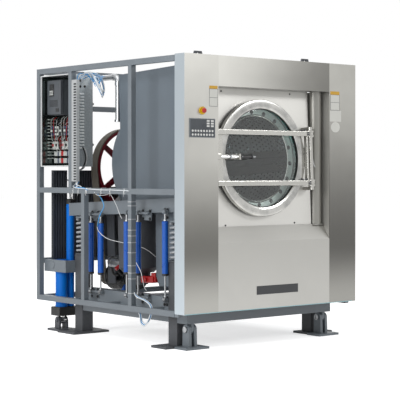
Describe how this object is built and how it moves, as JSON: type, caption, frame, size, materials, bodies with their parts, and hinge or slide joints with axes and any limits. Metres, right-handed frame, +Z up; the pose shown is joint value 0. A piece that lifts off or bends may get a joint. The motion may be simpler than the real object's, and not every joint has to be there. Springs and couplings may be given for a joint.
{
  "type": "washer-extractor",
  "caption": "Tilting industrial washer-extractor: a sprung tub and drum with a round front door, in an open tube frame on hinged floor brackets with lift cylinders.",
  "frame": {"origin": "on the floor, under the middle of the machine", "axes": "+X to the right seen from the front, +Y to the back, +Z up"},
  "size_m": [2.05, 2.326, 2.563],
  "materials": {
    "frame_paint": "satin",
    "dark_paint": "satin",
    "floor_paint": "matte",
    "pin_steel": "satin",
    "spring_paint": "satin",
    "stainless": "brushed",
    "label_plate": "matte",
    "bezel_grey": "satin",
    "display": "gloss",
    "keys": "matte",
    "stop_yellow": "gloss",
    "stop_red": "gloss",
    "cabinet_steel": "satin",
    "inverter_case": "matte",
    "switchgear": "matte",
    "duct_plastic": "matte",
    "cable_blue": "satin",
    "guard_dark": "matte",
    "chrome": "polished",
    "bracket_zinc": "satin",
    "damper_blue": "satin",
    "tub_paint": "satin",
    "collar_teal": "satin",
    "cast_grey": "cast",
    "motor_black": "satin",
    "belt_rubber": "matte",
    "hose_white": "satin",
    "pulley_red": "satin",
    "seal_rubber": "matte",
    "window_glass": "clear",
    "lock_black": "satin",
    "lift_blue": "gloss"
  },
  "bodies": {
    "floor_mounts": {"hinge_brackets": "floor_paint", "hinge_pins": "pin_steel", "lift_feet": "floor_paint"},
    "machine": {"base_beams": "frame_paint", "foot_posts": "frame_paint", "coil_springs": "spring_paint", "side_frames": "frame_paint", "rear_frame": "frame_paint", "left_column": "stainless", "right_column": "stainless", "header_panel": "stainless", "apron_panel": "stainless", "lifting_lugs": "dark_paint", "blank_plates": "label_plate", "control_bezel": "bezel_grey", "control_display": "display", "control_keys": "keys", "estop_base": "stop_yellow", "electric_cabinet": "cabinet_steel", "inverter": "inverter_case", "contactors": "switchgear", "cable_duct": "duct_plastic", "wiring_loom": "cable_blue", "rear_guards": "guard_dark", "lift_brackets": "frame_paint", "damper_rods": "chrome", "lower_damper_brackets": "bracket_zinc", "water_pipe": "pin_steel"},
    "estop": {"estop_button": "stop_red"},
    "cradle": {"cradle_frame": "dark_paint", "tub_shell": "tub_paint", "tub_casing": "tub_paint", "tub_front_plate": "tub_paint", "tub_back_plate": "tub_paint", "front_panel": "stainless", "tub_collar": "collar_teal", "bearing_housing": "cast_grey", "bearings": "pin_steel", "motor_body": "motor_black", "motor_bracket": "dark_paint", "drive_belts": "belt_rubber", "damper_barrels": "damper_blue", "upper_damper_brackets": "bracket_zinc", "drain_valve": "tub_paint", "door_mounts": "stainless", "air_hose": "hose_white"},
    "drum": {"drum_shell": "stainless", "drum_mouth": "stainless", "drum_lifters": "stainless", "drum_spider": "stainless", "drive_pulley": "pulley_red"},
    "motor_rotor": {"motor_pulley": "pulley_red"},
    "door": {"door_ring": "stainless", "door_seal": "seal_rubber", "door_glass": "window_glass", "door_arm": "stainless", "lock_cylinder": "lock_black"},
    "door_lock": {"lock_bolt": "chrome"},
    "lift_barrels": {"lift_barrels": "lift_blue"},
    "lift_rods": {"lift_rods": "chrome"}
  },
  "joints": [
    {"name": "machine_tilt", "type": "hinge", "parent": "floor_mounts", "child": "machine", "pos_m": [0, -0.905, 0.165], "axis": [1, 0, 0], "range_deg": [0, 10]},
    {"name": "cradle_bounce", "type": "slide", "parent": "machine", "child": "cradle", "axis": [0, 0, 1], "range_m": [-0.03, 0.015], "stiffness_N_per_m": 400000, "springref_m": 0.0802, "deforming": ["coil_springs"]},
    {"name": "drum_spin", "type": "hinge", "parent": "cradle", "child": "drum", "pos_m": [-0.085, -1.004, 1.634], "axis": [0, 0.999, -0.0436], "continuous": true},
    {"name": "motor_spin", "type": "hinge", "parent": "cradle", "child": "motor_rotor", "pos_m": [-0.32, -1.05002, 0.58], "axis": [0, 0.999, -0.0436], "continuous": true},
    {"name": "door_swing", "type": "hinge", "parent": "cradle", "child": "door", "pos_m": [0.478, -1.09391, 1.63793], "axis": [0, 0.0436, 0.999], "range_deg": [0, 150]},
    {"name": "lock_slide", "type": "slide", "parent": "door", "child": "door_lock", "axis": [-1, 0, 0], "range_m": [0, 0.03]},
    {"name": "estop_press", "type": "slide", "parent": "machine", "child": "estop", "axis": [0, 1, 0], "range_m": [0, 0.005], "stiffness_N_per_m": 800, "springref_m": -0.002},
    {"name": "lift_swing", "type": "hinge", "parent": "machine", "child": "lift_barrels", "pos_m": [0, 0.935, 0.63], "axis": [1, 0, 0], "range_deg": [-2.6, 0]},
    {"name": "lift_extend", "type": "slide", "parent": "lift_barrels", "child": "lift_rods", "axis": [0, 0, -1], "range_m": [0, 0.32]}
  ],
  "couplings": [
    {"joint": "motor_spin", "follows": "drum_spin", "ratio": 5.1333},
    {"joint": "lift_swing", "follows": "machine_tilt", "ratio": -0.25},
    {"joint": "lift_extend", "follows": "machine_tilt", "m_per_rad": 1.83}
  ]
}
